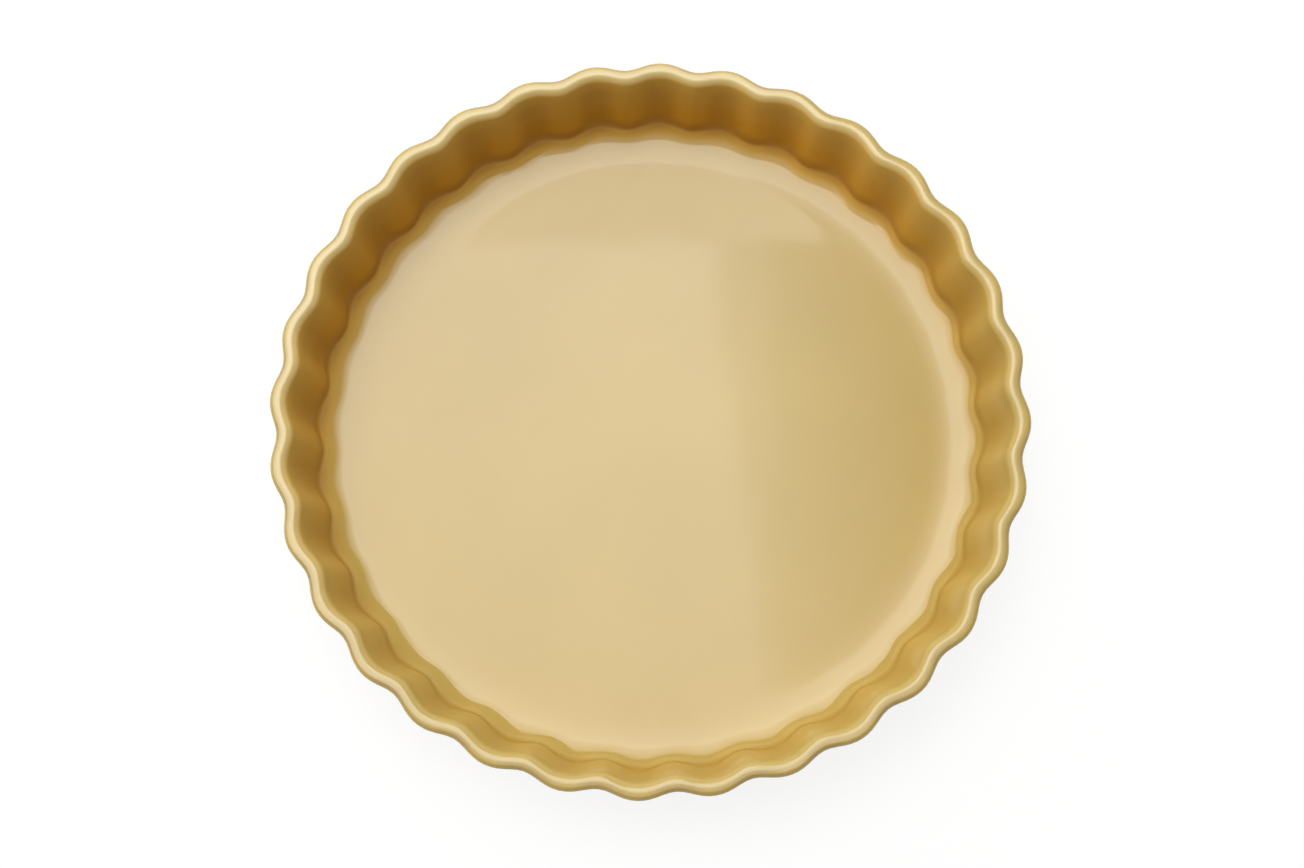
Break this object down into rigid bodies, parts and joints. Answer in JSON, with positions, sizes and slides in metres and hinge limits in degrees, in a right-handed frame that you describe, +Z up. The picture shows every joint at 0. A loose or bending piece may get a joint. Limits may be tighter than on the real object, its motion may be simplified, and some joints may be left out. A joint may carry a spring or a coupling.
{
  "type": "tart dish",
  "caption": "Round glazed stoneware tart dish with a flat floor, a wide cove, a leaning fluted wall and a rounded lip, for baking and serving a tart or quiche.",
  "frame": {"origin": "middle of the dish on the surface it stands on", "axes": "+Z up along the dish's axis; a flute crest lies on each of +X, -X, +Y and -Y"},
  "size_m": [0.28, 0.28, 0.04],
  "materials": {
    "bare_stoneware": "bare fired stoneware, dry and slightly gritty",
    "straw_glaze": "glossy straw-yellow glaze, deeper amber where it pools",
    "underside_straw_glaze": "glossy straw-yellow glaze, a little duller than above"
  },
  "bodies": {
    "root": {"stoneware_body": "bare_stoneware", "glaze_coat": "straw_glaze", "underside_glaze": "underside_straw_glaze"}
  },
  "joints": []
}
